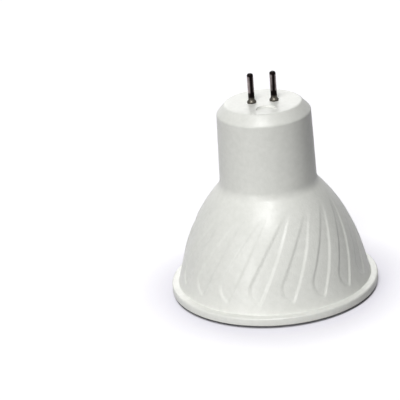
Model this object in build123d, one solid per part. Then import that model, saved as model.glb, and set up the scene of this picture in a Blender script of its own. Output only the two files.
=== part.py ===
from build123d import *
from math import asin, cos, degrees, radians, sqrt, tan
import os

# LED reflector spot lamp of the 50 mm size, with two contact pins.
# Millimetres. The lamp stands on its rim: the origin is the centre of the rim's front plane, +Z runs up the
# axis to the pins, the pins stand side by side along X, and the light leaves downwards.

# Housing, outside
RIM_D = 50.0
RIM_EDGE_H = 1.95        # height of the rim's outer edge
LIP_H = 2.05             # height at which the rim's top meets the bell
SKIRT_H = 8.5            # height below which the bell runs straight down to the rim
SKIRT_TOP_D = 43.31
BELL_CURVE_R = 41.3      # radius of the bell's bulging outline
BELL_TOP_D = 23.24
BELL_TOP_Z = 26.6
NECK_TOP_D = 22.34
BEVEL_H = 2.35
TOP_FACE_D = 18.1
BODY_H = 46.6
RIM_TOP_ROUND = 0.45
RIM_FOOT_ROUND = 0.35
LIP_FILLET = 0.25
NECK_FILLET = 3.5
BEVEL_ROUND = 0.45

# Housing, inside
WALL = 1.5
TOP_WALL = 2.0
CAVITY_ROUND = 1.2
MOUTH_D = 44.8           # stepped seat of the front ring in the rim
MOUTH_DEPTH = 0.9
RECESS_D = 4.6           # shallow round recess in the top face
RECESS_DEPTH = 0.45
RECESS_OFFSET = 5.3

# Flutes
FLUTE_COUNT = 18
FLUTE_DEPTH = 0.22
FLUTE_WIDTH = 3.4
FLUTE_HEEL = 4.0         # distance from a flute's foot to its widest place
FLUTE_BULGE = 0.75       # rise of the curved right-hand edge over its chord
FLUTE_LEAN = 21.35       # degrees from the bell's meridian
FLUTE_FOOT_GAP = 3.3     # from the rim's top to a flute's foot
FLUTE_TOP_GAP = 3.1      # from the end of a flute's depth to the neck
FLUTE_POINT_GAP = 0.4    # from the point where a flute's edges would meet to the neck
FLUTE_FADE = 7.5         # height over which the depth runs out
FLUTE_FOOT_ROUND = 0.6
FLUTE_PHASE = 15.2       # degrees from the front (-Y) to the middle of the first flute

# Contact pins
PIN_PITCH = 5.33
PIN_D = 1.5
PIN_LENGTH = 7.25
PIN_TIP_ROUND = 0.55
COLLAR_D = 2.2
COLLAR_T = 0.35
COLLAR_FLARE = 0.45
PIN_HEAD_D = 2.4
PIN_HEAD_T = 0.6
TAIL_D = 1.0
TAIL_LENGTH = 6.0
PIN_CLEAR = 0.05

# Front ring
RING_RECESS = 0.15       # how far the ring lies behind the rim's front plane
RING_BORDER = 0.5
RING_BORE_D = 37.0
RING_DISH = 2.25
RING_T = 1.0
RING_LAND = 0.8          # flat land that holds the lens down
RING_CLEAR = 0.1
SLOT_COUNT = 18
SLOT_LENGTH = 2.8
SLOT_W = 0.9
SLOT_SLANT = 50.0        # degrees from the radius
SLOT_INSET = 0.35        # from the ring's back edge to the slots' middles

# Lens
LENS_FLANGE_T = 1.2
LENS_SEAT = 0.75         # width of the flange that rests on the cup's rim
LENS_BODY_D = 36.0
LENS_BACK_D = 13.2
LENS_BULGE = 1.3
LENS_GAP = 0.3           # from the lens to the LED board
WELL_MOUTH_D = 27.8
WELL_FLOOR_D = 22.4
WELL_DEPTH = 6.0
LENS_WEB = 1.6           # thickness between the well and the cavity over the light source
LENS_CAVITY_D = 10.4
LENS_CAVITY_TOP_D = 8.8

# Heat sink cup and LED board
CUP_CLEAR = 0.15
CUP_T = 1.0
CUP_DEPTH = 13.0
BOARD_T = 1.0
BOARD_MARGIN = 0.2       # from the screw heads to the LED board's edge
LED_SIDE = 7.0
LED_T = 0.5
PHOSPHOR_D = 5.6
PHOSPHOR_T = 0.35
SCREW_LENS_GAP = 2.1     # from the lens's back end to the screw heads
SCREW_D = 2.0
SCREW_LENGTH = 4.0
SCREW_HEAD_D = 3.6
SCREW_HEAD_H = 1.2
SCREW_HEAD_ROUND = 0.6
SCREW_CLEAR = 0.1

# Driver board and the parts on it
DRIVER_T = 1.2
DRIVER_LIFT = 3.4        # from the cup to the driver board
DRIVER_TOP_GAP = 1.2
DRIVER_EDGE_GAP = 0.35
SOLDER_GAP = 0.05
RAIL_T = 0.8
RAIL_LAP = 1.0
RAIL_CLEAR = 0.1
RAIL_LIFT = 1.5          # from the foot of the neck to the rails
BIG_PART_LIFT = 9.0      # from the driver board's lower end to the coil's and capacitor's middles
BIG_PART_SPREAD = 3.6    # from the axis to those middles
COIL_D = 6.4
COIL_H = 4.6
COIL_FLANGE_T = 0.8
COIL_WAIST_D = 3.0
WINDING_D = 5.6
WINDING_CLEAR = 0.05
CAN_D = 6.3
CAN_H = 4.2
CAN_ROUND = 0.4
CAN_BASE_SIDE = 6.6
CAN_BASE_T = 0.9
CAN_BASE_CHAMFER = 1.2
LEAD_T = 0.2
BRIDGE = (4.8, 3.9, 2.4)
BRIDGE_DROP = 5.9        # from the driver board's upper end, by the pins
CHIP = (4.9, 3.9, 1.5)
CHIP_LIFT = 9.0
CHIP_PITCH = 1.27
DIODE = (4.3, 2.6, 2.1)
DIODE_LIFT = 3.4
RESISTOR = (3.2, 1.6, 0.6)
RESISTOR_LIFTS = (2.4, 4.8)
CERAMIC = (2.0, 1.25, 0.9)
CERAMIC_LIFT = 14.0
CERAMIC_TAIL_GAP = 0.6   # from the ceramic capacitors to the pins' tails
SMALL_PART_SPREAD = 3.4  # from the axis to the middles of the parts on the board's back
CAP_LENGTH = 0.5         # metal end cap of a chip part
CAP_PROUD = 0.04

# Lead wires
WIRE_D = 1.1
WIRE_BEND_R = 1.2
WIRE_EDGE = 1.0          # from the LED board's edge to the wire that passes it
WIRE_PAD_LENGTH = 2.3
WIRE_RISE = 2.0          # from the cup's back to the wire's bend
WIRE_DRIVER_X = 6.8
WIRE_LAP = 4.0           # length that lies on the driver board
WIRE_CLEAR = 0.45

# Heights and radii that follow from the sizes above
NECK_TOP_Z = BODY_H - BEVEL_H
CEILING_Z = BODY_H - TOP_WALL
LENS_Z = RING_RECESS + RING_DISH + RING_T
CUP_RIM_Z = LENS_Z + LENS_FLANGE_T
CUP_FLOOR_Z = CUP_RIM_Z + CUP_DEPTH
CUP_BACK_Z = CUP_FLOOR_Z + CUP_T
BOARD_Z = CUP_FLOOR_Z - BOARD_T
CUP_INSET = WALL + CUP_CLEAR
SCREW_OFFSET = LENS_BACK_D / 2 + SCREW_LENS_GAP + SCREW_HEAD_D / 2
BOARD_R = SCREW_OFFSET + SCREW_HEAD_D / 2 + BOARD_MARGIN
WIRE_HOLE_OFFSET = BOARD_R - WIRE_EDGE
DRIVER_FRONT_Y = TAIL_D / 2 + SOLDER_GAP
DRIVER_BACK_Y = DRIVER_FRONT_Y + DRIVER_T
DRIVER_LOW_Z = CUP_BACK_Z + DRIVER_LIFT
DRIVER_HIGH_Z = CEILING_Z - DRIVER_TOP_GAP
NECK_BORE_R = NECK_TOP_D / 2 - WALL
DRIVER_HALF_W = sqrt(NECK_BORE_R**2 - DRIVER_BACK_Y**2) - DRIVER_EDGE_GAP


def bell_centre():
    """Centre of the bell's outline arc, which runs from the skirt to the neck."""
    low = Vector(SKIRT_TOP_D / 2, SKIRT_H)
    chord = Vector(BELL_TOP_D / 2, BELL_TOP_Z) - low
    inwards = Vector(-chord.Y, chord.X) / chord.length
    return low + chord / 2 + inwards * sqrt(BELL_CURVE_R**2 - (chord.length / 2) ** 2)


BELL_CENTRE = bell_centre()
SKIRT_SLOPE = asin((SKIRT_H - BELL_CENTRE.Y) / BELL_CURVE_R)


def bell_r(z, inset=0.0):
    """Radius of the bell at a height, on its outside or on a parallel surface further in."""
    return BELL_CENTRE.X + sqrt((BELL_CURVE_R - inset) ** 2 - (z - BELL_CENTRE.Y) ** 2)


def bell_arc(low, high, inset=0.0):
    middle = (low + high) / 2
    return ThreePointArc(*[(bell_r(z, inset), z) for z in (low, middle, high)])


def skirt_r(z, inset=0.0):
    """Radius of the straight skirt, which is tangent to the bell's arc."""
    return bell_r(SKIRT_H, inset) + (SKIRT_H - z) * tan(SKIRT_SLOPE)


def rounded(profile, corner, radius):
    return fillet(profile.vertices().sort_by_distance(corner)[0], radius)


def turned(profile):
    """Solid made by turning a profile of radius and height about the lamp's axis."""
    return revolve(Plane.XZ * profile, axis=Axis.Z)


def housing_outside():
    rim_r = RIM_D / 2
    foot = (skirt_r(LIP_H), LIP_H)
    neck = (BELL_TOP_D / 2, BELL_TOP_Z)
    shoulder = (NECK_TOP_D / 2, NECK_TOP_Z)
    top_edge = (TOP_FACE_D / 2, BODY_H)
    rim = Polyline((0, 0), (rim_r, 0), (rim_r, RIM_EDGE_H), foot)
    bell = bell_arc(SKIRT_H, BELL_TOP_Z)
    upper = Polyline(neck, shoulder, top_edge, (0, BODY_H), (0, 0))
    profile = make_face([rim, Line(foot, bell @ 0), bell, upper])
    profile = rounded(profile, foot, LIP_FILLET)
    profile = rounded(profile, neck, NECK_FILLET)
    profile = rounded(profile, shoulder, BEVEL_ROUND)
    profile = rounded(profile, top_edge, BEVEL_ROUND)
    profile = rounded(profile, (rim_r, RIM_EDGE_H), RIM_TOP_ROUND)
    profile = rounded(profile, (rim_r, 0), RIM_FOOT_ROUND)
    return turned(profile)


def driver_rails():
    """Two pairs of ribs in the neck that hold the driver board by its edges."""
    low = BELL_TOP_Z + RAIL_LIFT
    length = BELL_TOP_D / 2 - DRIVER_HALF_W + RAIL_LAP
    rib = Box(length, RAIL_T, BODY_H - low, align=(Align.MIN, Align.CENTER, Align.MIN))
    middle = (DRIVER_FRONT_Y + DRIVER_BACK_Y) / 2
    offset = (DRIVER_T + RAIL_T) / 2 + RAIL_CLEAR
    right = [Pos(DRIVER_HALF_W - RAIL_LAP, middle + side * offset, low) * rib for side in (-1, 1)]
    return right + [mirror(each, Plane.YZ) for each in right]


def housing_cavity():
    neck_r = BELL_TOP_D / 2 - WALL
    neck_z = BELL_CENTRE.Y + sqrt((BELL_CURVE_R - WALL) ** 2 - (neck_r - BELL_CENTRE.X) ** 2)
    corner = (NECK_BORE_R, CEILING_Z)
    mouth_r = bell_r(MOUTH_DEPTH, WALL)
    upper = Polyline((neck_r, neck_z), corner, (0, CEILING_Z), (0, MOUTH_DEPTH), (mouth_r, MOUTH_DEPTH))
    profile = make_face([bell_arc(MOUTH_DEPTH, neck_z, WALL), upper])
    return turned(rounded(profile, corner, CAVITY_ROUND)) - driver_rails()


def flute_outline(length):
    """Leaf with a broad heel and a curved right-hand edge, upright about its middle."""
    foot = Vector(0, -length / 2)
    tip = Vector(0, length / 2)
    heel = foot + Vector(-FLUTE_WIDTH, FLUTE_HEEL)
    heel_arc = TangentArc(heel, foot, tangent=heel - tip)
    leaf = make_face([Line(tip, heel), heel_arc, ThreePointArc(foot, (FLUTE_BULGE, 0), tip)])
    return rounded(leaf, foot, FLUTE_FOOT_ROUND)


def flute_floor():
    """Ring of space outside the flutes' floor, which keeps its depth and then rises to the surface."""
    tip_z = BELL_TOP_Z - FLUTE_TOP_GAP
    fade_z = tip_z - FLUTE_FADE
    foot = (skirt_r(LIP_H, FLUTE_DEPTH), LIP_H)
    even = bell_arc(SKIRT_H, fade_z, FLUTE_DEPTH)
    rise = TangentArc(even @ 1, (bell_r(tip_z), tip_z), tangent=even % 1)
    outer_r = RIM_D / 2
    back = Polyline(rise @ 1, (outer_r, tip_z), (outer_r, LIP_H), foot)
    return turned(make_face([Line(foot, even @ 0), even, rise, back]))


def flute_cutter():
    foot_z = LIP_H + FLUTE_FOOT_GAP
    point_z = BELL_TOP_Z - FLUTE_POINT_GAP
    middle_z = (foot_z + point_z) / 2
    rise = (Vector(bell_r(point_z), point_z) - Vector(skirt_r(foot_z), foot_z)).length
    slope = degrees(asin((middle_z - BELL_CENTRE.Y) / BELL_CURVE_R))
    outwards = Vector(1, 0, 0).rotate(Axis.Y, -slope)
    facing = Plane((bell_r(middle_z), 0, middle_z), x_dir=(0, 1, 0), z_dir=outwards)
    leaf = Rot(Z=-FLUTE_LEAN) * flute_outline(rise / cos(radians(FLUTE_LEAN)))
    prism = extrude(facing * leaf, amount=FLUTE_WIDTH, both=True)
    return Rot(Z=FLUTE_PHASE - 90) * (prism & flute_floor())


def housing():
    body = housing_outside() - housing_cavity()
    body -= Cylinder(MOUTH_D / 2, MOUTH_DEPTH, align=(Align.CENTER, Align.CENTER, Align.MIN))
    for x in (-PIN_PITCH / 2, PIN_PITCH / 2):
        body -= Pos(x, 0, BODY_H) * Cylinder(PIN_D / 2 + PIN_CLEAR, 2 * TOP_WALL)
    body -= Pos(0, -RECESS_OFFSET, BODY_H) * Cylinder(RECESS_D / 2, 2 * RECESS_DEPTH)
    cutter = flute_cutter()
    return body - [place * cutter for place in PolarLocations(0, FLUTE_COUNT)]


def contact_pin():
    tip_z = BODY_H + PIN_LENGTH
    collar_z = BODY_H + COLLAR_T
    head_z = CEILING_Z - PIN_HEAD_T
    tail_z = CEILING_Z - TAIL_LENGTH
    corner = (PIN_D / 2, tip_z)
    outline = [(0, tail_z), (TAIL_D / 2, tail_z), (TAIL_D / 2, head_z), (PIN_HEAD_D / 2, head_z)]
    outline += [(PIN_HEAD_D / 2, CEILING_Z), (PIN_D / 2, CEILING_Z), (PIN_D / 2, BODY_H)]
    outline += [(COLLAR_D / 2, BODY_H), (COLLAR_D / 2, collar_z), (PIN_D / 2, collar_z + COLLAR_FLARE)]
    outline += [corner, (0, tip_z)]
    return turned(rounded(make_face(Polyline(*outline, close=True)), corner, PIN_TIP_ROUND))


def front_ring():
    flange_r = MOUTH_D / 2 - RING_CLEAR
    bore_r = RING_BORE_D / 2
    dish_r = flange_r - RING_BORDER
    fall = RING_DISH / (dish_r - bore_r)
    back_r = bell_r(LENS_Z, WALL) - RING_CLEAR
    land_r = bore_r + RING_LAND
    back_z = LENS_Z - (back_r - land_r) * fall
    outline = [(flange_r, RING_RECESS), (dish_r, RING_RECESS), (bore_r, RING_RECESS + RING_DISH)]
    outline += [(bore_r, LENS_Z), (land_r, LENS_Z), (back_r, back_z)]
    outline += [(back_r, MOUTH_DEPTH), (flange_r, MOUTH_DEPTH)]
    ring = turned(make_face(Polyline(*outline, close=True)))
    slot = Rot(Z=SLOT_SLANT) * extrude(SlotOverall(SLOT_LENGTH, SLOT_W), amount=LENS_Z)
    return ring - [place * slot for place in PolarLocations(back_r - SLOT_INSET, SLOT_COUNT)]


def lens():
    flange_r = bell_r(CUP_RIM_Z, CUP_INSET + CUP_T) + LENS_SEAT
    well_z = LENS_Z + WELL_DEPTH
    cavity_z = well_z + LENS_WEB
    back_z = BOARD_Z - LENS_GAP
    shoulder = Vector(LENS_BODY_D / 2, CUP_RIM_Z)
    back = Vector(LENS_BACK_D / 2, back_z)
    chord = back - shoulder
    crown = shoulder + chord / 2 + Vector(chord.Y, -chord.X) / chord.length * LENS_BULGE
    front = Polyline((0, well_z), (WELL_FLOOR_D / 2, well_z), (WELL_MOUTH_D / 2, LENS_Z), (flange_r, LENS_Z),
                     (flange_r, CUP_RIM_Z), shoulder)
    rear = Polyline(back, (LENS_CAVITY_D / 2, back_z), (LENS_CAVITY_TOP_D / 2, cavity_z), (0, cavity_z),
                    (0, well_z))
    return turned(make_face([front, ThreePointArc(shoulder, crown, back), rear]))


def heat_sink_cup():
    outside = bell_arc(CUP_RIM_Z, CUP_BACK_Z, CUP_INSET)
    inside = bell_arc(CUP_RIM_Z, CUP_FLOOR_Z, CUP_INSET + CUP_T)
    rim = Line(inside @ 0, outside @ 0)
    base = Polyline(outside @ 1, (0, CUP_BACK_Z), (0, CUP_FLOOR_Z), inside @ 1)
    cup = turned(make_face([outside, inside, rim, base]))
    for x in (-WIRE_HOLE_OFFSET, WIRE_HOLE_OFFSET):
        cup -= Pos(x, 0, CUP_FLOOR_Z) * Cylinder(WIRE_D / 2 + WIRE_CLEAR, 4 * CUP_T)
    for y in (-SCREW_OFFSET, SCREW_OFFSET):
        cup -= Pos(0, y, CUP_FLOOR_Z) * Cylinder(SCREW_D / 2 + SCREW_CLEAR, 4 * CUP_T)
    return cup


def led_board():
    outline = Circle(BOARD_R)
    notch_r = WIRE_D / 2 + WIRE_CLEAR
    notch = Circle(notch_r) + Rectangle(BOARD_R, 2 * notch_r, align=(Align.MIN, Align.CENTER))
    outline -= Pos(WIRE_HOLE_OFFSET, 0) * notch
    outline -= Rot(Z=180) * Pos(WIRE_HOLE_OFFSET, 0) * notch
    outline -= [place * Circle(SCREW_D / 2 + SCREW_CLEAR) for place in PolarLocations(SCREW_OFFSET, 2, 90)]
    return extrude(Pos(0, 0, BOARD_Z) * outline, amount=BOARD_T)


def led_base():
    return extrude(Pos(0, 0, BOARD_Z - LED_T) * Rectangle(LED_SIDE, LED_SIDE), amount=LED_T)


def led_phosphor():
    return extrude(Pos(0, 0, BOARD_Z - LED_T - PHOSPHOR_T) * Circle(PHOSPHOR_D / 2), amount=PHOSPHOR_T)


def board_screws():
    head_r = SCREW_HEAD_D / 2
    shank_r = SCREW_D / 2
    head_z = BOARD_Z - SCREW_HEAD_H
    end_z = BOARD_Z + SCREW_LENGTH
    outline = [(0, head_z), (head_r, head_z), (head_r, BOARD_Z)]
    outline += [(shank_r, BOARD_Z), (shank_r, end_z), (0, end_z)]
    profile = rounded(make_face(Polyline(*outline, close=True)), (head_r, head_z), SCREW_HEAD_ROUND)
    screw = turned(profile)
    return Compound([place * screw for place in PolarLocations(SCREW_OFFSET, 2, 90)])


def driver_board():
    width = 2 * DRIVER_HALF_W
    board = Box(width, DRIVER_T, DRIVER_HIGH_Z - DRIVER_LOW_Z, align=(Align.CENTER, Align.MIN, Align.MIN))
    return Pos(0, DRIVER_FRONT_Y, DRIVER_LOW_Z) * board


def front_seat(x, lift):
    """Place on the driver board's front, looking away from it."""
    return Plane((x, DRIVER_FRONT_Y, DRIVER_LOW_Z + lift), x_dir=(1, 0, 0), z_dir=(0, -1, 0))


def back_seat(x, lift):
    """Place on the driver board's back, looking away from it."""
    return Plane((x, DRIVER_BACK_Y, DRIVER_LOW_Z + lift), x_dir=(-1, 0, 0), z_dir=(0, 1, 0))


def inductor_core():
    waist_r = COIL_WAIST_D / 2
    flange_r = COIL_D / 2
    high = COIL_H - COIL_FLANGE_T
    outline = [(0, 0), (flange_r, 0), (flange_r, COIL_FLANGE_T), (waist_r, COIL_FLANGE_T), (waist_r, high)]
    outline += [(flange_r, high), (flange_r, COIL_H), (0, COIL_H)]
    return front_seat(BIG_PART_SPREAD, BIG_PART_LIFT) * turned(make_face(Polyline(*outline, close=True)))


def inductor_winding():
    height = COIL_H - 2 * COIL_FLANGE_T - 2 * WINDING_CLEAR
    turns = Circle(WINDING_D / 2) - Circle(COIL_WAIST_D / 2 + WINDING_CLEAR)
    ring = extrude(Pos(0, 0, COIL_FLANGE_T + WINDING_CLEAR) * turns, amount=height)
    return front_seat(BIG_PART_SPREAD, BIG_PART_LIFT) * ring


def capacitor_base():
    side = CAN_BASE_SIDE
    base = extrude(Rectangle(side, side), amount=CAN_BASE_T)
    corners = base.edges().filter_by(Axis.Z).group_by(Axis.Y)[0]
    return front_seat(-BIG_PART_SPREAD, BIG_PART_LIFT) * chamfer(corners, CAN_BASE_CHAMFER)


def capacitor_can():
    can = extrude(Pos(0, 0, CAN_BASE_T) * Circle(CAN_D / 2), amount=CAN_H)
    can = fillet(can.edges().group_by(Axis.Z)[-1], CAN_ROUND)
    return front_seat(-BIG_PART_SPREAD, BIG_PART_LIFT) * can


def standing_block(length, width, height):
    return Box(length, width, height, align=(Align.CENTER, Align.CENTER, Align.MIN))


def leaded_package(size, leads, pitch, lead_w):
    """Moulded package on two rows of bent leads, with its underside a lead's thickness off the board."""
    length, width, height = size
    body = Pos(0, 0, LEAD_T) * standing_block(length, width, height - LEAD_T)
    foot = standing_block(lead_w, 4 * LEAD_T, LEAD_T)
    riser = standing_block(lead_w, LEAD_T, height / 2)
    for side in (-1, 1):
        for place in GridLocations(pitch, 0, leads, 1):
            at = Pos(0, side * (width / 2 + LEAD_T / 2), 0) * place
            body += at * riser
            body += at * Pos(0, side * 2 * LEAD_T, 0) * foot
    return body


def chip_part(size):
    """Small block with a metal cap over each end."""
    length, width, height = size
    body = standing_block(length, width, height)
    cap = standing_block(CAP_LENGTH, width + 2 * CAP_PROUD, height + CAP_PROUD)
    for x in (-length / 2, length / 2):
        body += Pos(x, 0, 0) * cap
    return body


def bridge_rectifier():
    lift = DRIVER_HIGH_Z - DRIVER_LOW_Z - BRIDGE_DROP
    return back_seat(SMALL_PART_SPREAD, lift) * leaded_package(BRIDGE, 2, 2 * CHIP_PITCH, 3 * LEAD_T)


def driver_chip():
    return back_seat(-SMALL_PART_SPREAD, CHIP_LIFT) * leaded_package(CHIP, 4, CHIP_PITCH, 2 * LEAD_T)


def flyback_diode():
    return back_seat(SMALL_PART_SPREAD, DIODE_LIFT) * leaded_package(DIODE, 1, 1, 6 * LEAD_T)


def sense_resistors():
    resistor = chip_part(RESISTOR)
    return Compound([back_seat(-SMALL_PART_SPREAD, lift) * resistor for lift in RESISTOR_LIFTS])


def ceramic_capacitors():
    """Two upright blocks between the pins' tails."""
    block = Rot(Z=90) * chip_part(CERAMIC)
    spread = (PIN_PITCH - TAIL_D - CERAMIC[1]) / 2 - CAP_PROUD - CERAMIC_TAIL_GAP
    return Compound([front_seat(x, CERAMIC_LIFT) * block for x in (-spread, spread)])


def lead_wire():
    """Lead from a pad on the LED board, up through the cup, to the driver board's lower end."""
    pad_z = BOARD_Z - WIRE_D / 2 - SOLDER_GAP
    bend_z = CUP_BACK_Z + WIRE_RISE
    lap_z = DRIVER_LOW_Z + WIRE_LAP
    y = DRIVER_FRONT_Y - SOLDER_GAP - WIRE_D / 2
    route = [(WIRE_HOLE_OFFSET - WIRE_PAD_LENGTH, y, pad_z), (WIRE_HOLE_OFFSET, y, pad_z)]
    route += [(WIRE_HOLE_OFFSET, y, bend_z), (WIRE_DRIVER_X, y, DRIVER_LOW_Z + WIRE_BEND_R)]
    route += [(WIRE_DRIVER_X, y, lap_z)]
    path = FilletPolyline(*route, radius=WIRE_BEND_R)
    return sweep(Plane(path @ 0, z_dir=path % 0) * Circle(WIRE_D / 2), path=path)


def save(name, solid):
    solid.label = name
    export_step(solid, f"parts/{name}.step")


os.makedirs("parts", exist_ok=True)

pin = contact_pin()
wire = lead_wire()

save("housing", housing())
save("contact_pin_left", Pos(-PIN_PITCH / 2, 0, 0) * pin)
save("contact_pin_right", Pos(PIN_PITCH / 2, 0, 0) * pin)
save("front_ring", front_ring())
save("lens", lens())
save("heat_sink_cup", heat_sink_cup())
save("led_board", led_board())
save("led_base", led_base())
save("led_phosphor", led_phosphor())
save("board_screws", board_screws())
save("driver_board", driver_board())
save("inductor_core", inductor_core())
save("inductor_winding", inductor_winding())
save("capacitor_base", capacitor_base())
save("capacitor_can", capacitor_can())
save("bridge_rectifier", bridge_rectifier())
save("driver_chip", driver_chip())
save("flyback_diode", flyback_diode())
save("sense_resistors", sense_resistors())
save("ceramic_capacitors", ceramic_capacitors())
save("lead_wire_positive", wire)
save("lead_wire_negative", mirror(wire, Plane.YZ))
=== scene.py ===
from math import asin, atan2, cos, pi, radians, sin, sqrt, tan

import bmesh
import bpy
import numpy as np
from mathutils import Matrix, Vector
from mathutils.geometry import interpolate_bezier, tessellate_polygon


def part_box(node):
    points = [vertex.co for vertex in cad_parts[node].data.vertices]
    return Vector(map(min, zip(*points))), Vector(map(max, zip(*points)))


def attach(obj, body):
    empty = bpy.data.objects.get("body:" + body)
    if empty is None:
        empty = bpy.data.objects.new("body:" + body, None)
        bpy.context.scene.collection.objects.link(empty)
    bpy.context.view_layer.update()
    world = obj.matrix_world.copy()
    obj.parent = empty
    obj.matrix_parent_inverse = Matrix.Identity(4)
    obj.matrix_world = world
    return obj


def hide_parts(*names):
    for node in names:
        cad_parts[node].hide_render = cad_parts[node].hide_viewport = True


# LED reflector spot lamp that stands on its rim with its pins up: the finish of every surface, the camera and
# the light. Shapes are written in millimetres, in the frame's own axes, and MM turns them into metres.

MM = 0.001

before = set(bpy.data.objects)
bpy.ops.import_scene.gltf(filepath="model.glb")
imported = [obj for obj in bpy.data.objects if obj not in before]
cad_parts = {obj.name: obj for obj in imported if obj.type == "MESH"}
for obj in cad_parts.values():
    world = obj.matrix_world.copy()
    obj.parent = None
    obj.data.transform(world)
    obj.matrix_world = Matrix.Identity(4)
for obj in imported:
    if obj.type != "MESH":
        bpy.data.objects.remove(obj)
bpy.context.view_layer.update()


def node_box(name):
    """Lowest and highest corner of a node, in millimetres."""
    low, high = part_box(name)
    return low / MM, high / MM


# Housing outline
RIM_R = node_box("housing")[1].x
BODY_H = node_box("housing")[1].z
RIM_EDGE_H = 1.95
LIP_H = 2.05
SKIRT_H = 8.5            # below it the bell runs straight down to the rim
SKIRT_TOP_R = 21.655
BELL_CURVE_R = 41.3
BELL_TOP_R = 11.62
BELL_TOP_Z = 26.6
NECK_TOP_R = 11.17
BEVEL_H = 2.35
TOP_FACE_R = 9.05
RIM_FACE_W = 1.0         # outer part of the face on which the lamp stands
RIM_TOP_ROUND = 0.45
RIM_FOOT_ROUND = 0.35
LIP_FILLET = 0.25
NECK_FILLET = 3.5
BEVEL_ROUND = 0.9
WALL = 1.5
RECESS_R = 2.3
RECESS_DEPTH = 0.45
RECESS_Y = -5.3
RECESS_EDGE_ROUND = 0.12
RECESS_FLOOR_ROUND = 0.3

# Flutes of the bell
FLUTE_COUNT = 18
FLUTE_DEPTH = 0.22
FLUTE_WIDTH = 3.4
FLUTE_HEEL = 4.0
FLUTE_BULGE = 0.75
FLUTE_LEAN = radians(21.35)
FLUTE_FOOT_Z = LIP_H + 3.3
FLUTE_POINT_Z = BELL_TOP_Z - 0.4     # where the two edges would meet
FLUTE_TIP_Z = BELL_TOP_Z - 3.1       # where the depth has run out
FLUTE_FADE = 10.0        # height over which it runs out
FLUTE_PHASE = radians(15.2)
FLUTE_WALL_W = 0.85      # width over which a flute's edge falls to its floor
FLUTE_END_ROUND = 0.5
FLUTE_SEARCH = radians(15)           # to both sides of a flute's middle, where its edges are looked for
FLUTE_SEARCH_STEPS = 601

# Contact pins
PIN_R = 0.75
PIN_TIP_ROUND = 0.55
COLLAR_R = 1.1
COLLAR_T = 0.35
COLLAR_FLARE = 0.45
COLLAR_ROUND = 0.12
PIN_HEAD_R = 1.2
PIN_HEAD_T = 0.6
TAIL_R = 0.5
TOP_WALL = 2.0
PIN_SPACING = 5.33
# Painted reflections on the pins: pale and near-black streaks and a black tip stand for bright and dark
# surroundings mirrored in the metal
REFLECTION_STREAK_PITCH = PIN_SPACING / 3       # three streaks from one pin to the other
REFLECTION_STREAK_SHIFT = 0.08      # from a pin's axis to its darkest streak
PIN_TIP_DARK_REFLECTION = 0.5       # height of the black tip, a painted reflection of dark surroundings
PIN_FOOT_BROWN = 1.5     # height of the brown foot
PIN_DARK_STRETCH_TOP = 2.4       # height up to which the pin is nearly black above its foot
PIN_DARK_STRETCH_SHARE = 0.25    # share of the streaks that is left there
PIN_FADE = 0.4           # over which all three run out

# Lens
LENS_R = node_box("lens")[1].x
LENS_Z = node_box("lens")[0].z
LENS_BACK_Z = node_box("lens")[1].z
LENS_FLANGE_T = 1.2
LENS_BODY_R = 18.0
LENS_BACK_R = 6.6
LENS_BULGE = 1.3
WELL_MOUTH_R = 13.9
WELL_FLOOR_R = 11.2
WELL_DEPTH = 6.0
LENS_WEB = 1.6
LENS_CAVITY_R = 5.2
LENS_CAVITY_TOP_R = 4.4
LENS_ROUND = 0.15
RING_BORE_R = 18.5
PILLOW_PITCH = 0.8       # grid of small pillows in the lens's front
PILLOW_DEPTH = 0.08
PILLOW_EDGE = 0.4        # from the well's mouth and the ring's bore to the pillows

# Parts on the driver board
LEAD_REACH = 0.9         # from a package's side to the ends of its leads
CAP_LENGTH = 0.5         # metal end cap of a chip part
WINDING_WIRE = 0.3       # thickness of the coil's wire

WAVE_TURN = 20           # of the wave texture: one stripe is a full turn of 20 times its coordinate

# Fineness of the meshes
BEND_POINTS = 8
ROUND_COLUMNS = 198
PIN_COLUMNS = 64
LENS_COLUMNS = 640
LENS_STEP = 0.16
BAND_COLUMNS = 28        # across a flute and its walls
LAND_COLUMNS = 8         # from one flute to the next
HEEL_STEP = 0.15
BELL_STEP = 0.3
BELL_LEAN = radians(30)  # mean lean of the bell above the flutes' heels
SKIRT_ROWS = 6           # from the lip up to the flutes
LENS_BACK_POINTS = 24
AXIS_R = 0.02            # of the small flat face that closes a turned piece at its axis
SUPPORT = 0.15           # distance of the row that keeps a flat face flat beside a round edge
SHARP_ANGLE = radians(35)
WELD = 0.0005            # points nearer to each other than this are one
TOLERANCE = 0.001

# Camera, from the photograph's perspective
IMAGE_SIZE = 400
SENSOR_MM = 36.0
FOCAL_PX = 2057.6
CAMERA_AZIMUTH = radians(-6.6)
CAMERA_ELEVATION = radians(22.21)
CAMERA_ROLL = radians(3.889)
CAMERA_DISTANCE = 0.4928
CLIP_START = 0.01
TARGET = Vector((0, 0, 0.022))
TARGET_PIXEL = (269.56, 198.07)

# Soft lamps: azimuth and elevation in degrees, level, and width in metres. A level of 1 shows a colour
# as it is written on a surface that faces the lamp. Other lengths here are in metres too.
LAMPS = {"key": (-17, 55, 0.72, 8), "low": (-40, 12, 0.33, 8), "back": (180, 24, 0.44, 20)}
LAMP_DISTANCE = 20.0
SKY_LEVEL = 0.016
SKY_COLOUR = (0.94, 1.0, 1.02)
FLOOR_BOUNCE = 0.55      # how much of its light the floor gives back to the lamp, less further out
BOUNCE_REACH = 0.1       # where that has run out
FLOOR_COLOUR = (0.55, 0.54, 0.58)    # of the floor where it is seen
FLOOR_GLOW = (0.61, 0.61, 0.61)      # added there, so that it is white under these lamps
FLOOR_PAINTED_SHADE = (0.36, 0.355, 0.38)    # painted shade: the glow beside the rim, lowered as if the lamp kept light away
PAINTED_SHADE_REACH = 0.036                  # from the axis to where that painted shade has run out
FLOOR_SIZE = 8.0
FLOOR_DROP = 0.0006


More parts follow.
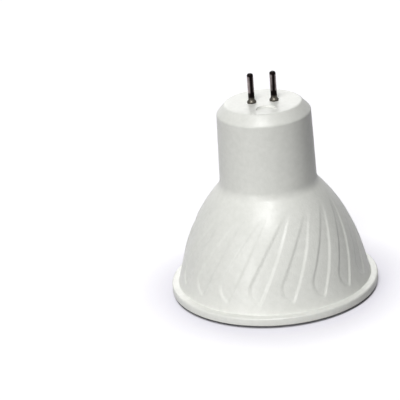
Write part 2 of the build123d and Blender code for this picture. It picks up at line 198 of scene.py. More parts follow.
class Skin:
    """Points and faces of a mesh that is put together from closed rings."""

    def __init__(self):
        self.points = []
        self.faces = []

    def ring(self, points):
        start = len(self.points)
        self.points.extend(tuple(p) for p in points)
        return list(range(start, len(self.points)))

    def circle(self, radius, z, columns, centre=(0.0, 0.0)):
        angles = [2 * pi * i / columns for i in range(columns)]
        return self.ring([(centre[0] + radius * cos(a), centre[1] + radius * sin(a), z) for a in angles])

    def strip(self, low, high):
        """Quads between two rings of as many points."""
        for i, a in enumerate(low):
            j = (i + 1) % len(low)
            self.faces.append((a, low[j], high[j], high[i]))

    def stitch(self, low, high):
        """Triangles between two rings about the axis that differ in their number of points."""
        def sorted_by_angle(ring):
            angles = [(atan2(self.points[i][1], self.points[i][0]), i) for i in ring]
            angles.sort()
            return angles + [(angles[0][0] + 2 * pi, angles[0][1])]

        a, b = sorted_by_angle(low), sorted_by_angle(high)
        i = j = 0
        while i < len(a) - 1 or j < len(b) - 1:
            if j == len(b) - 1 or (i < len(a) - 1 and a[i + 1][0] <= b[j + 1][0]):
                self.faces.append((a[i][1], a[i + 1][1], b[j][1]))
                i += 1
            else:
                self.faces.append((a[i][1], b[j + 1][1], b[j][1]))
                j += 1

    def fill(self, outer, *holes):
        """Triangles of a flat face with holes in it."""
        rings = [outer, *holes]
        order = [i for ring in rings for i in ring]
        loops = [[Vector(self.points[i]) for i in ring] for ring in rings]
        self.faces.extend(tuple(order[k] for k in face) for face in tessellate_polygon(loops))

    def turn(self, path, columns, centre=(0.0, 0.0)):
        """Rings of a path of radius and height turned about an upright axis, with strips between them."""
        rings = [self.circle(p.x, p.y, columns, centre) for p in path]
        for low, high in zip(rings, rings[1:]):
            self.strip(low, high)
        return rings

    def piece(self, name, finish, slot, *nodes):
        """Makes an object of this mesh that stands for CAD nodes and has their place."""
        mesh = bpy.data.meshes.new(name)
        mesh.from_pydata([Vector(p) * MM for p in self.points], [], self.faces)
        work = bmesh.new()
        work.from_mesh(mesh)
        bmesh.ops.recalc_face_normals(work, faces=work.faces)
        work.to_mesh(mesh)
        work.free()
        mesh.shade_smooth()
        mesh.set_sharp_from_angle(angle=SHARP_ANGLE)
        mesh.materials.append(finish.material)
        obj = bpy.data.objects.new(name, mesh)
        bpy.context.scene.collection.objects.link(obj)
        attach(obj, "root")
        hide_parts(*nodes)


def trimmed(path, length):
    """The path without its last stretch of that length, cut at a new point."""
    path = list(path)
    while (path[-1] - path[-2]).length <= length:
        length -= (path[-1] - path[-2]).length
        path.pop()
    path[-1] = path[-1] + (path[-2] - path[-1]).normalized() * length
    return path


def joined(path, run, radius):
    """The path continued by a run that starts at its end, with the corner between them rounded."""
    ahead = (path[-1] - path[-2]).normalized()
    onward = (run[1] - run[0]).normalized()
    turn = ahead.angle(onward)
    before = trimmed(path, radius * tan(turn / 2))
    after = trimmed(run[::-1], radius * tan(turn / 2))[::-1]
    handle = radius * tan(turn / 4) * 4 / 3
    start, end = before[-1], after[0]
    bend = interpolate_bezier(start, start + ahead * handle, end - onward * handle, end, BEND_POINTS)
    return before[:-1] + bend + after[1:]


def chain(corners):
    """Path along straight runs through corners, each given as radius, height and rounding."""
    path = [Vector(c[:2]) for c in corners[:2]]
    for corner, following in zip(corners[1:], corners[2:]):
        run = [Vector(corner[:2]), Vector(following[:2])]
        path = joined(path, run, corner[2]) if corner[2] else path + run[1:]
    return path


# The bell


def bell_centre():
    """Centre of the arc in the bell's outline, as radius and height."""
    low = Vector((SKIRT_TOP_R, SKIRT_H))
    chord = Vector((BELL_TOP_R, BELL_TOP_Z)) - low
    inwards = Vector((-chord.y, chord.x)).normalized()
    return low + chord / 2 + inwards * sqrt(BELL_CURVE_R**2 - (chord.length / 2) ** 2)


BELL_CENTRE = bell_centre()


def bell_slope(z):
    """Angle by which the bell's surface faces up at a height."""
    return np.arcsin((np.maximum(z, SKIRT_H) - BELL_CENTRE.y) / BELL_CURVE_R)


def bell_r(z):
    """Radius of the bell at a height, without its flutes."""
    arc = BELL_CENTRE.x + BELL_CURVE_R * np.cos(bell_slope(z))
    return arc + np.maximum(SKIRT_H - z, 0) * tan(bell_slope(SKIRT_H))


class Flute:
    """Outline and depth of the flute whose middle lies at angle 0, in a plane square to the bell there."""

    def __init__(self):
        self.middle_z = (FLUTE_FOOT_Z + FLUTE_POINT_Z) / 2
        self.middle_r = bell_r(self.middle_z)
        self.slope = bell_slope(self.middle_z)
        rise = Vector((bell_r(FLUTE_POINT_Z) - bell_r(FLUTE_FOOT_Z), FLUTE_POINT_Z - FLUTE_FOOT_Z)).length
        half = rise / cos(FLUTE_LEAN) / 2
        foot, tip = np.array((0, -half)), np.array((0, half))
        self.heel = foot + np.array((-FLUTE_WIDTH, FLUTE_HEEL))
        self.along = (self.heel - tip) / np.linalg.norm(self.heel - tip)
        self.across = np.array((-self.along[1], self.along[0]))
        reach = self.heel - foot
        self.heel_r = -(reach @ reach) / (2 * reach @ self.across)
        self.heel_centre = self.heel + self.heel_r * self.across
        self.right_r = (half**2 + FLUTE_BULGE**2) / (2 * FLUTE_BULGE)
        self.right_centre = np.array((FLUTE_BULGE - self.right_r, 0))

    def place(self, angle, z):
        """Place of a point of the bell in the flute's own plane, upright along the flute."""
        r = bell_r(z)
        side = r * np.sin(angle)
        up = (z - self.middle_z) * cos(self.slope) - (r * np.cos(angle) - self.middle_r) * sin(self.slope)
        x = side * cos(FLUTE_LEAN) - up * sin(FLUTE_LEAN)
        y = side * sin(FLUTE_LEAN) + up * cos(FLUTE_LEAN)
        return np.stack([x, y], -1)

    def line_distance(self, p):
        """Distance to the right of the straight left-hand edge and its extension."""
        return (p - self.heel) @ self.across

    def right_distance(self, p):
        """Distance to the left of the curved right-hand edge."""
        return self.right_r - np.linalg.norm(p - self.right_centre, axis=-1)

    def inside(self, p):
        """Distance inside the outline, with its two corners rounded."""
        round_heel = self.heel_r - np.linalg.norm(p - self.heel_centre, axis=-1)
        left = np.where((p - self.heel) @ self.along > 0, round_heel, self.line_distance(p))
        right = self.right_distance(p)
        near = np.maximum(FLUTE_END_ROUND - np.abs(left - right), 0) / FLUTE_END_ROUND
        return np.minimum(left, right) - near**2 * FLUTE_END_ROUND / 4

    def depth(self, angle, z):
        """How far the flute is sunk at a place of the bell."""
        share = np.clip(self.inside(self.place(angle, z)) / FLUTE_WALL_W + 0.5, 0, 1)
        fade = np.clip((z - FLUTE_TIP_Z + FLUTE_FADE) / FLUTE_FADE, 0, 1)
        return FLUTE_DEPTH * (1 - fade**2) * share**2 * (3 - 2 * share)

    def band(self, z):
        """Angles between which the flute and its walls lie at a height."""
        angles = np.linspace(-FLUTE_SEARCH, FLUTE_SEARCH, FLUTE_SEARCH_STEPS)
        p = self.place(angles, np.full_like(angles, z))
        left = np.interp(0, self.line_distance(p), angles)
        right = np.interp(0, -self.right_distance(p), angles)
        half = max((right - left) / 2, 0) + FLUTE_WALL_W / bell_r(z)
        return (left + right) / 2 - half, (left + right) / 2 + half


def fluted_row(flute, z):
    """Ring of points of the fluted bell, closer together across the flutes."""
    pitch = 2 * pi / FLUTE_COUNT
    left, right = flute.band(z)
    across = np.linspace(left, right, BAND_COLUMNS, endpoint=False)
    land = np.linspace(right, left + pitch, LAND_COLUMNS, endpoint=False)
    angles = np.concatenate([across, land])
    deep = sum(flute.depth(angles + shift, np.full_like(angles, z)) for shift in (-pitch, 0, pitch))
    slope = bell_slope(z)
    r = bell_r(z) - deep * cos(slope)
    height = z - deep * sin(slope)
    points = []
    for i in range(FLUTE_COUNT):
        turned = angles + FLUTE_PHASE - pi / 2 + i * pitch
        points.extend(zip(r * np.cos(turned), r * np.sin(turned), height))
    return points


def bell_path():
    """Outline of the bell from the lip up, with finer rows along the flutes' heels."""
    heel_z = FLUTE_FOOT_Z + FLUTE_HEEL
    fine = np.arange(FLUTE_FOOT_Z - 2 * FLUTE_WALL_W, heel_z, HEEL_STEP)
    below = np.linspace(LIP_H, fine[0], SKIRT_ROWS, endpoint=False)
    count = round((BELL_TOP_Z - heel_z) / cos(BELL_LEAN) / BELL_STEP)
    above = np.linspace(heel_z, BELL_TOP_Z, count)
    return [Vector((bell_r(z), z)) for z in np.concatenate([below, fine, above])]


# Pieces


def inner_faces(skin, outline):
    """Adds the frame's own faces inside the skin: cavity, rails, mouth and pin holes.

    Returns the open edges at the mouth and at the two holes.
    """
    work = bmesh.new()
    work.from_mesh(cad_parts["housing"].data)
    work.transform(Matrix.Scale(1 / MM, 4))
    bmesh.ops.remove_doubles(work, verts=work.verts, dist=WELD)
    heights = [p.y for p in outline]
    radii = [p.x for p in outline]

    def on_skin(face):
        c = face.calc_center_median()
        if c.z < TOLERANCE or c.z > BODY_H - TOLERANCE:
            return True
        if c.z > BODY_H - TOP_WALL / 2 and c.y < RECESS_Y + RECESS_R:
            return True
        return c.xy.length > np.interp(c.z, heights, radii) - WALL / 2

    bmesh.ops.delete(work, geom=[f for f in work.faces if on_skin(f)], context="FACES")
    places = skin.ring([v.co for v in work.verts])
    work.verts.index_update()
    skin.faces.extend(tuple(places[v.index] for v in f.verts) for f in work.faces)
    edge = [v for v in work.verts if v.is_boundary]
    mouth = [places[v.index] for v in edge if v.co.z < BODY_H / 2]
    holes = []
    for side in (-1, 1):
        ring = [v for v in edge if v.co.z > BODY_H / 2 and v.co.x * side > 0]
        middle = sum((v.co for v in ring), Vector()) / len(ring)
        ring.sort(key=lambda v: atan2(v.co.y - middle.y, v.co.x - middle.x))
        holes.append([places[v.index] for v in ring])
    work.free()
    return mouth, holes


def recess(skin):
    """Shallow round recess of the top face. Returns its outermost ring."""
    floor_z = BODY_H - RECESS_DEPTH
    corners = [(RECESS_R + 2 * SUPPORT, BODY_H, 0), (RECESS_R, BODY_H, RECESS_EDGE_ROUND),
               (RECESS_R, floor_z, RECESS_FLOOR_ROUND), (RECESS_R / 2, floor_z, 0)]
    rings = skin.turn(chain(corners), PIN_COLUMNS, (0.0, RECESS_Y))
    skin.fill(rings[-1])
    return rings[0]


def housing(finish):
    """White body: a new skin of rim, fluted bell, neck and top round the frame's own inside."""
    skin = Skin()
    flute = Flute()
    foot = Vector((bell_r(LIP_H), LIP_H))
    neck_foot = Vector((BELL_TOP_R, BELL_TOP_Z))
    lower = chain([(RIM_R - RIM_FACE_W, 0, 0), (RIM_R, 0, RIM_FOOT_ROUND),
                   (RIM_R, RIM_EDGE_H, RIM_TOP_ROUND), (*foot, 0)])
    neck = chain([(*neck_foot, 0), (NECK_TOP_R, BODY_H - BEVEL_H, BEVEL_ROUND),
                  (TOP_FACE_R, BODY_H, BEVEL_ROUND), (TOP_FACE_R - BEVEL_ROUND - SUPPORT, BODY_H, 0)])
    outline = joined(joined(lower, bell_path(), LIP_FILLET), neck, NECK_FILLET)

    lip_row = next(i for i, p in enumerate(outline) if p.y > LIP_H + LIP_FILLET)
    neck_row = next(i for i, p in enumerate(outline) if p.y > BELL_TOP_Z + NECK_FILLET / 2)
    rim_rings = skin.turn(outline[:lip_row], ROUND_COLUMNS)
    neck_rings = skin.turn(outline[neck_row:], ROUND_COLUMNS)
    fluted = []
    for p in outline[lip_row:neck_row]:
        row = np.array(fluted_row(flute, p.y))
        in_fillet = abs(p.x - bell_r(p.y)) > TOLERANCE
        if in_fillet:
            row[:, :2] *= (p.x / np.hypot(row[:, 0], row[:, 1]))[:, None]
            row[:, 2] = p.y
        fluted.append(skin.ring(row))
    for low, high in zip(fluted, fluted[1:]):
        skin.strip(low, high)
    skin.stitch(rim_rings[-1], fluted[0])
    skin.stitch(fluted[-1], neck_rings[0])

    mouth, holes = inner_faces(skin, outline)
    skin.stitch(mouth, rim_rings[0])
    skin.fill(neck_rings[-1], recess(skin), *holes)
    skin.piece("lamp_housing", finish, "white_plastic", "housing")


def contact_pin(side, finish):
    """One pin: tail, head under the top wall, collar, flare and rounded tip."""
    node = f"contact_pin_{side}"
    low, high = node_box(node)
    centre = ((low.x + high.x) / 2, (low.y + high.y) / 2)
    ceiling = BODY_H - TOP_WALL
    collar_z = BODY_H + COLLAR_T
    flare_z = collar_z + COLLAR_FLARE
    corners = [(AXIS_R, low.z, 0), (TAIL_R, low.z, 0), (TAIL_R, ceiling - PIN_HEAD_T, 0),
               (PIN_HEAD_R, ceiling - PIN_HEAD_T, 0), (PIN_HEAD_R, ceiling, 0), (PIN_R, ceiling, 0),
               (PIN_R, BODY_H, 0), (COLLAR_R, BODY_H, 0), (COLLAR_R, collar_z, COLLAR_ROUND),
               (PIN_R, flare_z, COLLAR_FLARE), (PIN_R, high.z, PIN_TIP_ROUND), (AXIS_R, high.z, 0)]
    skin = Skin()
    rings = skin.turn(chain(corners), PIN_COLUMNS, centre)
    skin.fill(rings[0])
    skin.fill(rings[-1])
    skin.piece(f"pin_{side}", finish, "plated_pin", node)


def pillows(points):
    """The points of a flat face, sunk into the lens along the lines of a square grid."""
    sunk = []
    for x, y, z in points:
        u = 2 * (x / PILLOW_PITCH % 1) - 1
        v = 2 * (y / PILLOW_PITCH % 1) - 1
        sunk.append((x, y, z + PILLOW_DEPTH * (u**2 + v**2) / 2))
    return sunk


def bulging(start, end, rise, count):
    """Points of an arc that rises over its chord, to the right of its way."""
    chord = end - start
    aside = Vector((chord.y, -chord.x)).normalized()
    radius = ((chord.length / 2) ** 2 + rise**2) / (2 * rise)
    centre = (start + end) / 2 - aside * (radius - rise)
    half = asin(chord.length / 2 / radius)
    turns = [half - 2 * half * i / (count - 1) for i in range(count)]
    return [centre + radius * (cos(t) * aside - sin(t) * chord.normalized()) for t in turns]


def front_lens(finish):
    """Clear lens with a well in its front and a cavity over the light source."""
    well_z = LENS_Z + WELL_DEPTH
    cavity_z = well_z + LENS_WEB
    flange_z = LENS_Z + LENS_FLANGE_T
    grid = np.arange(WELL_MOUTH_R + PILLOW_EDGE, RING_BORE_R - PILLOW_EDGE, LENS_STEP)
    well = chain([(AXIS_R, well_z, 0), (WELL_FLOOR_R, well_z, LENS_ROUND), (WELL_MOUTH_R, LENS_Z, LENS_ROUND),
                  (grid[0], LENS_Z, 0)])
    flange = chain([(grid[-1], LENS_Z, 0), (LENS_R, LENS_Z, LENS_ROUND), (LENS_R, flange_z, LENS_ROUND),
                    (LENS_BODY_R, flange_z, 0)])
    back_start = Vector((LENS_BODY_R, flange_z))
    back_end = Vector((LENS_BACK_R, LENS_BACK_Z))
    back = bulging(back_start, back_end, LENS_BULGE, LENS_BACK_POINTS)
    cavity = chain([(LENS_BACK_R, LENS_BACK_Z, 0), (LENS_CAVITY_R, LENS_BACK_Z, 0),
                    (LENS_CAVITY_TOP_R, cavity_z, LENS_ROUND), (AXIS_R, cavity_z, 0)])
    skin = Skin()
    rings = skin.turn(well, LENS_COLUMNS)
    angles = [2 * pi * i / LENS_COLUMNS for i in range(LENS_COLUMNS)]
    for r in grid[1:-1]:
        ring = skin.ring(pillows([(r * cos(a), r * sin(a), LENS_Z) for a in angles]))
        skin.strip(rings[-1], ring)
        rings.append(ring)
    rear = skin.turn(flange + back[1:] + cavity[1:], LENS_COLUMNS)
    skin.strip(rings[-1], rear[0])
    skin.fill(rings[0])
    skin.fill(rear[-1])
    skin.piece("front_lens", finish, "clear_lens", "lens")


# Materials


class Finish:
    """Material made of shader nodes, with its surface texture placed by the object's own coordinates."""

    def __init__(self, name, **values):
        self.material = bpy.data.materials.new(name)
        self.material.use_nodes = True
        self.tree = self.material.node_tree
        self.shader = self.tree.nodes["Principled BSDF"]
        self.place = self.tree.nodes.new("ShaderNodeTexCoord").outputs["Object"]
        for socket, value in values.items():
            self.shader.inputs[socket.replace("_", " ")].default_value = value

    def link(self, output, socket):
        self.tree.links.new(output, self.shader.inputs[socket])

    def noise(self, size, detail=2.0, stretch=(1, 1, 1)):
        """Cloudy pattern of 0 to 1 whose spots have about that size in millimetres."""
        mapping = self.tree.nodes.new("ShaderNodeMapping")
        mapping.inputs["Scale"].default_value = [s / (size * MM) for s in stretch]
        texture = self.tree.nodes.new("ShaderNodeTexNoise")
        texture.inputs["Scale"].default_value = 1.0
        texture.inputs["Detail"].default_value = detail
        self.tree.links.new(self.place, mapping.inputs["Vector"])
        self.tree.links.new(mapping.outputs["Vector"], texture.inputs["Vector"])
        return texture.outputs["Fac"]

    def ramp(self, share, low, high, start=0.3, end=0.7):
        """Colours between two, by a pattern."""
        ramp = self.tree.nodes.new("ShaderNodeValToRGB")
        for stop, colour, place in zip(ramp.color_ramp.elements, (low, high), (start, end)):
            stop.color = (*colour, 1)
            stop.position = place
        self.tree.links.new(share, ramp.inputs["Fac"])
        return ramp.outputs["Color"]

    def span(self, share, low, high, start=0.3, end=0.7):
        """Numbers between two, by a pattern."""
        span = self.tree.nodes.new("ShaderNodeMapRange")
        for socket, value in zip(("From Min", "From Max", "To Min", "To Max"), (start, end, low, high)):
            span.inputs[socket].default_value = value
        self.tree.links.new(share, span.inputs["Value"])
        return span.outputs["Result"]

    def bands(self, axis, pitch, start, distortion):
        """Soft stripes of 0 to 1 across an axis, with a 0 at the start."""
        wave = self.tree.nodes.new("ShaderNodeTexWave")
        wave.bands_direction = axis
        wave.inputs["Scale"].default_value = 2 * pi / WAVE_TURN / (pitch * MM)
        wave.inputs["Phase Offset"].default_value = -2 * pi * start / pitch
        wave.inputs["Distortion"].default_value = distortion
        self.tree.links.new(self.place, wave.inputs["Vector"])
        return wave.outputs["Fac"]

    def along(self, axis):
        """Coordinate along an axis, in metres."""
        split = self.tree.nodes.new("ShaderNodeSeparateXYZ")
        self.tree.links.new(self.place, split.inputs["Vector"])
        return split.outputs[axis.upper()]

    def height(self, start, rise, least=0.0):
        """The least share at a height, and 1 beyond a rise or fall from there."""
        return self.span(self.along("z"), least, 1, start * MM, (start + rise) * MM)

    def product(self, one, other):
        times = self.tree.nodes.new("ShaderNodeMath")
        times.operation = "MULTIPLY"
        self.tree.links.new(one, times.inputs[0])
        self.tree.links.new(other, times.inputs[1])
        return times.outputs[0]

    def mixed(self, share, pattern, colour):
        """A pattern's colours, replaced by one colour where the share is 1."""
        mix = self.tree.nodes.new("ShaderNodeMix")
        mix.data_type = "RGBA"
        mix.inputs["B"].default_value = (*colour, 1)
        self.tree.links.new(share, mix.inputs["Factor"])
        self.tree.links.new(pattern, mix.inputs["A"])
        return mix.outputs["Result"]

    def bump(self, height, depth, under=None):
        """Surface relief of that depth in millimetres, over another relief if one is given."""
        bump = self.tree.nodes.new("ShaderNodeBump")
        bump.inputs["Distance"].default_value = depth * MM
        self.tree.links.new(height, bump.inputs["Height"])
        if under:
            self.tree.links.new(under, bump.inputs["Normal"])
        return bump.outputs["Normal"]


def white_plastic():
    finish = Finish("white_plastic", Specular_IOR_Level=0.5)
    cloud = finish.noise(1.3, detail=5.0)
    finish.link(finish.ramp(cloud, (0.768, 0.775, 0.73), (0.822, 0.827, 0.784)), "Base Color")
    finish.link(finish.span(finish.noise(1.2, detail=4.0), 0.33, 0.43), "Roughness")
    waves = finish.bump(finish.noise(2.2), 0.012)
    finish.link(finish.bump(finish.noise(0.45, detail=3.0), 0.035, waves), "Normal")
    return finish


def plated_pin():
    """Plated metal with painted reflections: pale streaks along the pins and near-black ones between them,
    and black tips, stand for bright and dark surroundings mirrored in it; a black stretch above a brown foot.
    """
    finish = Finish("plated_pin", Metallic=1.0)
    low, high = node_box("contact_pin_right")
    # Painted reflection: stripes across the pins stand for bright and dark surroundings mirrored in them, the
    # darkest one just beside each axis
    reflection_streak = finish.bands("X", REFLECTION_STREAK_PITCH, (low.x + high.x) / 2 + REFLECTION_STREAK_SHIFT, distortion=0.8)
    # Painted reflection: the black tip stands for dark surroundings mirrored there
    tip = finish.height(high.z - PIN_TIP_DARK_REFLECTION, -PIN_FADE)
    dark_stretch = finish.height(BODY_H + PIN_DARK_STRETCH_TOP, PIN_FADE, PIN_DARK_STRETCH_SHARE)
    pale_reflection_share = finish.span(finish.noise(1.6, detail=1.0), 0.65, 1.0)
    for share in (reflection_streak, tip, dark_stretch):
        pale_reflection_share = finish.product(pale_reflection_share, share)
    # Colours of the painted reflections, from near black to pale
    painted_reflection_colour = finish.ramp(pale_reflection_share, (0.006, 0.004, 0.004), (0.37, 0.32, 0.315), start=0.12, end=0.85)
    brown = finish.height(BODY_H + PIN_FOOT_BROWN, -PIN_FADE)
    finish.link(finish.mixed(brown, painted_reflection_colour, (0.085, 0.079, 0.067)), "Base Color")
    finish.link(finish.span(finish.noise(0.5), 0.32, 0.46), "Roughness")
    finish.link(finish.bump(finish.noise(0.2, stretch=(1, 1, 0.15)), 0.004), "Normal")
    return finish


def clear_lens():
    finish = Finish("clear_lens", Transmission_Weight=1.0, IOR=1.49, Base_Color=(0.95, 0.95, 0.985, 1))
    finish.link(finish.span(finish.noise(2.0), 0.015, 0.06), "Roughness")
    finish.link(finish.bump(finish.noise(1.5), 0.002), "Normal")
    return finish


def grained(name, low, high, size, roughness, relief, **values):
    """Finish with a cloudy colour between two, spots of about one size, and fine relief, in millimetres."""
    finish = Finish(name, **values)
    finish.link(finish.ramp(finish.noise(size, detail=3.0), low, high), "Base Color")
    finish.link(finish.span(finish.noise(size / 2), *roughness), "Roughness")
    finish.link(finish.bump(finish.noise(size / 4), relief), "Normal")
    return finish


def pressed_aluminium():
    finish = Finish("pressed_aluminium", Metallic=1.0)
    drawn = finish.noise(0.8, detail=4.0, stretch=(1, 1, 0.15))
    finish.link(finish.ramp(drawn, (0.7, 0.7, 0.71), (0.84, 0.84, 0.84)), "Base Color")
    finish.link(finish.span(drawn, 0.28, 0.45), "Roughness")
    finish.link(finish.bump(drawn, 0.01), "Normal")
    return finish


def white_board():
    return grained("white_board", (0.84, 0.85, 0.82), (0.9, 0.9, 0.87),
                   size=0.9, roughness=(0.3, 0.42), relief=0.006)


def led_ceramic():
    return grained("led_ceramic", (0.86, 0.85, 0.8), (0.93, 0.92, 0.87),
                   size=0.4, roughness=(0.5, 0.65), relief=0.004)


def phosphor():
    return grained("phosphor", (0.8, 0.58, 0.1), (0.88, 0.7, 0.18),
                   size=0.25, roughness=(0.25, 0.45), relief=0.01, Subsurface_Weight=0.2)


def screw_steel():
    return grained("screw_steel", (0.52, 0.53, 0.53), (0.68, 0.68, 0.64),
                   size=0.7, roughness=(0.25, 0.4), relief=0.006, Metallic=1.0)


def circuit_board():
    finish = Finish("circuit_board", Coat_Weight=0.4, Coat_Roughness=0.15)
    weave = finish.noise(0.35, stretch=(1, 1, 0.25))
    finish.link(finish.ramp(weave, (0.03, 0.15, 0.07), (0.06, 0.24, 0.12)), "Base Color")
    finish.link(finish.span(weave, 0.35, 0.5), "Roughness")
    finish.link(finish.bump(finish.noise(0.3, stretch=(1, 1, 0.3)), 0.012), "Normal")
    return finish


def ferrite():
    return grained("ferrite", (0.06, 0.06, 0.065), (0.13, 0.13, 0.13),
                   size=0.3, roughness=(0.55, 0.75), relief=0.02)


def copper_wire():
    """Turns of wire side by side across the board, seen as fine bands."""
    finish = Finish("copper_wire", Metallic=1.0, Coat_Weight=0.5)
    turns = finish.bands("Y", WINDING_WIRE, start=0, distortion=0)
    finish.link(finish.ramp(finish.noise(0.6), (0.55, 0.22, 0.09), (0.7, 0.32, 0.14)), "Base Color")
    finish.link(finish.span(finish.noise(0.4), 0.22, 0.35), "Roughness")
    finish.link(finish.bump(turns, 0.08), "Normal")
    return finish


def can_aluminium():
    return grained("can_aluminium", (0.64, 0.65, 0.66), (0.78, 0.78, 0.78),
                   size=0.8, roughness=(0.2, 0.34), relief=0.004, Metallic=1.0)


def black_package(name="black_package"):
    return grained(name, (0.018, 0.018, 0.018), (0.04, 0.04, 0.04),
                   size=0.25, roughness=(0.5, 0.68), relief=0.012)


def resistor_body():
    return grained("resistor_body", (0.02, 0.02, 0.025), (0.05, 0.05, 0.06),
                   size=0.3, roughness=(0.2, 0.35), relief=0.004)


def capacitor_body():
    return grained("capacitor_body", (0.4, 0.27, 0.15), (0.55, 0.4, 0.26),
                   size=0.3, roughness=(0.4, 0.55), relief=0.008)


def insulation(name, low, high):
    return grained(name, low, high, size=0.8, roughness=(0.32, 0.48), relief=0.008)


def bare_ends(finish, node, axis, length):
    """Gives bare tinned metal to the ends of a node along an axis, such as its leads or end caps."""
    low, high = (getattr(corner, axis) * MM for corner in node_box(node))
    middle = (low + high) / 2
    start = (high - low) / 2 - length * MM
    value = finish.along(axis)
    for operation, number in (("SUBTRACT", middle), ("ABSOLUTE", 0.0), ("GREATER_THAN", start)):
        step = finish.tree.nodes.new("ShaderNodeMath")
        step.operation = operation
        step.inputs[1].default_value = number
        finish.tree.links.new(value, step.inputs[0])
        value = step.outputs[0]
    body = finish.shader.inputs["Base Color"].links[0].from_socket
    tin = (0.66, 0.66, 0.64)
    finish.link(finish.mixed(value, body, tin), "Base Color")
    finish.link(value, "Metallic")
    return finish


def dress(finish, *nodes):
    """Gives the finish to nodes that keep their own form."""
    for node in nodes:
        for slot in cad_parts[node].material_slots:
            slot.material = finish.material


# Camera, floor and light


def direction(azimuth, elevation):
    """Unit vector from the lamp towards an azimuth, which is 0 at its front, and an elevation."""
    return Vector((sin(azimuth) * cos(elevation), -cos(azimuth) * cos(elevation), sin(elevation)))


def look_at_lamp():
    """Camera turned so that the target comes to its pixel."""
    back = direction(CAMERA_AZIMUTH, CAMERA_ELEVATION)
    right = Vector((0, 0, 1)).cross(back).normalized()
    straight = Matrix((right, back.cross(right), -back))
    middle = IMAGE_SIZE / 2
    ray = Vector((TARGET_PIXEL[0] - middle, middle - TARGET_PIXEL[1], FOCAL_PX))
    aside = Vector((0, 0, 1)).rotation_difference(ray).to_matrix()
    axes = aside @ Matrix.Rotation(CAMERA_ROLL, 3, "Z") @ straight
    turned = Matrix((axes[0], axes[1], -axes[2])).transposed().to_4x4()

    camera = bpy.data.objects.new("camera", bpy.data.cameras.new("camera"))
    camera.data.sensor_width = SENSOR_MM
    camera.data.lens = FOCAL_PX / IMAGE_SIZE * SENSOR_MM
    camera.data.clip_start = CLIP_START
    camera.matrix_world = Matrix.Translation(TARGET + back * CAMERA_DISTANCE) @ turned
    bpy.context.scene.collection.objects.link(camera)
    bpy.context.scene.camera = camera


def soft_light(name, azimuth, elevation, level, width):
    light = bpy.data.lights.new(name, "AREA")
    light.shape = "DISK"
    light.size = width
    light.energy = level * (pi * LAMP_DISTANCE) ** 2
    obj = bpy.data.objects.new(name, light)
    towards = direction(azimuth, elevation)
    obj.location = TARGET + towards * LAMP_DISTANCE
    obj.rotation_euler = towards.to_track_quat("Z", "Y").to_euler()
    bpy.context.scene.collection.objects.link(obj)


def seen(tree):
    """1 for rays that show a surface: the camera's own, and those in gloss and glass."""
    path = tree.nodes.new("ShaderNodeLightPath")
    total = path.outputs["Is Camera Ray"]
    for kind in ("Is Glossy Ray", "Is Transmission Ray"):
        add = tree.nodes.new("ShaderNodeMath")
        add.operation = "MAXIMUM"
        tree.links.new(total, add.inputs[0])
        tree.links.new(path.outputs[kind], add.inputs[1])
        total = add.outputs[0]
    return total


def between(tree, share, low, high):
    """Colours between two, each of them written as numbers or given by another node."""
    mix = tree.nodes.new("ShaderNodeMix")
    mix.data_type = "RGBA"
    for socket, colour in (("A", low), ("B", high)):
        if isinstance(colour, bpy.types.NodeSocket):
            tree.links.new(colour, mix.inputs[socket])
        else:
            mix.inputs[socket].default_value = (*colour, 1)
    tree.links.new(share, mix.inputs["Factor"])
    return mix.outputs["Result"]


def outwards(tree, start, end):
    """0 up to one distance from the middle of the floor and 1 from another on."""
    distance = tree.nodes.new("ShaderNodeVectorMath")
    distance.operation = "LENGTH"
    tree.links.new(tree.nodes.new("ShaderNodeTexCoord").outputs["Object"], distance.inputs[0])
    fade = tree.nodes.new("ShaderNodeMapRange")
    fade.inputs["From Min"].default_value = start
    fade.inputs["From Max"].default_value = end
    tree.links.new(distance.outputs["Value"], fade.inputs["Value"])
    return fade.outputs["Result"]


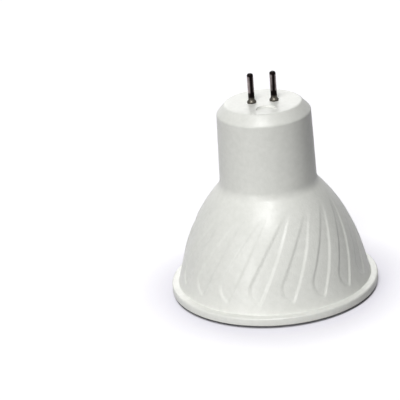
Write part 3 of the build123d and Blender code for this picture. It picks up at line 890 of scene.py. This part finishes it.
def floor_material():
    """Matte white with a glow that only shows, with a painted shade beside the rim and a painted shadow under
    the lamp, where the glow is gone.
    """
    material = bpy.data.materials.new("floor")
    material.use_nodes = True
    tree = material.node_tree
    tree.nodes.remove(tree.nodes["Principled BSDF"])
    matte = tree.nodes.new("ShaderNodeBsdfDiffuse")
    glow = tree.nodes.new("ShaderNodeEmission")
    both = tree.nodes.new("ShaderNodeAddShader")
    shown = seen(tree)
    bounce = between(tree, outwards(tree, 0, BOUNCE_REACH), (FLOOR_BOUNCE,) * 3, (0, 0, 0))
    tree.links.new(between(tree, shown, bounce, FLOOR_COLOUR), matte.inputs["Color"])
    # Painted shade: the glow is lowered towards the rim
    beside = between(tree, outwards(tree, RIM_R * MM, PAINTED_SHADE_REACH), FLOOR_PAINTED_SHADE, FLOOR_GLOW)
    # Painted shadow: no glow under the rim, which draws a dark line beneath the lamp
    clear = outwards(tree, (RIM_R - RIM_FOOT_ROUND) * MM, RIM_R * MM)
    around = between(tree, clear, (0, 0, 0), beside)
    tree.links.new(between(tree, shown, (0, 0, 0), around), glow.inputs["Color"])
    tree.links.new(matte.outputs["BSDF"], both.inputs[0])
    tree.links.new(glow.outputs["Emission"], both.inputs[1])
    tree.links.new(both.outputs["Shader"], tree.nodes["Material Output"].inputs["Surface"])
    return material


def white_floor():
    half = FLOOR_SIZE / 2
    mesh = bpy.data.meshes.new("floor")
    corners = [(-half, -half), (half, -half), (half, half), (-half, half)]
    mesh.from_pydata([(x, y, -FLOOR_DROP) for x, y in corners], [], [(0, 1, 2, 3)])
    mesh.materials.append(floor_material())
    floor = bpy.data.objects.new("floor", mesh)
    bpy.context.scene.collection.objects.link(floor)


def sky():
    """World that is white where it is seen and gives a little light."""
    world = bpy.data.worlds.new("studio")
    world.use_nodes = True
    tree = world.node_tree
    dim = [SKY_LEVEL * c for c in SKY_COLOUR]
    tree.links.new(between(tree, seen(tree), dim, (1, 1, 1)), tree.nodes["Background"].inputs["Color"])
    bpy.context.scene.world = world


look_at_lamp()
white_floor()
sky()
for name, (azimuth, elevation, level, width) in LAMPS.items():
    soft_light(name, radians(azimuth), radians(elevation), level, width)
bpy.context.scene.view_settings.view_transform = "Standard"

white = white_plastic()
plate = plated_pin()
housing(white)
contact_pin("left", plate)
contact_pin("right", plate)
front_lens(clear_lens())

dress(white, "front_ring")
dress(pressed_aluminium(), "heat_sink_cup")
dress(white_board(), "led_board")
dress(led_ceramic(), "led_base")
dress(phosphor(), "led_phosphor")
dress(screw_steel(), "board_screws")
dress(circuit_board(), "driver_board")
dress(ferrite(), "inductor_core")
dress(copper_wire(), "inductor_winding")
dress(can_aluminium(), "capacitor_can")
dress(black_package(), "capacitor_base")
for package in ("bridge_rectifier", "driver_chip", "flyback_diode"):
    dress(bare_ends(black_package(package), package, "z", LEAD_REACH), package)
dress(bare_ends(resistor_body(), "sense_resistors", "x", CAP_LENGTH), "sense_resistors")
dress(bare_ends(capacitor_body(), "ceramic_capacitors", "z", CAP_LENGTH), "ceramic_capacitors")
dress(insulation("red_insulation", (0.45, 0.02, 0.02), (0.58, 0.04, 0.035)), "lead_wire_positive")
dress(insulation("black_insulation", (0.015, 0.015, 0.015), (0.04, 0.04, 0.04)), "lead_wire_negative")
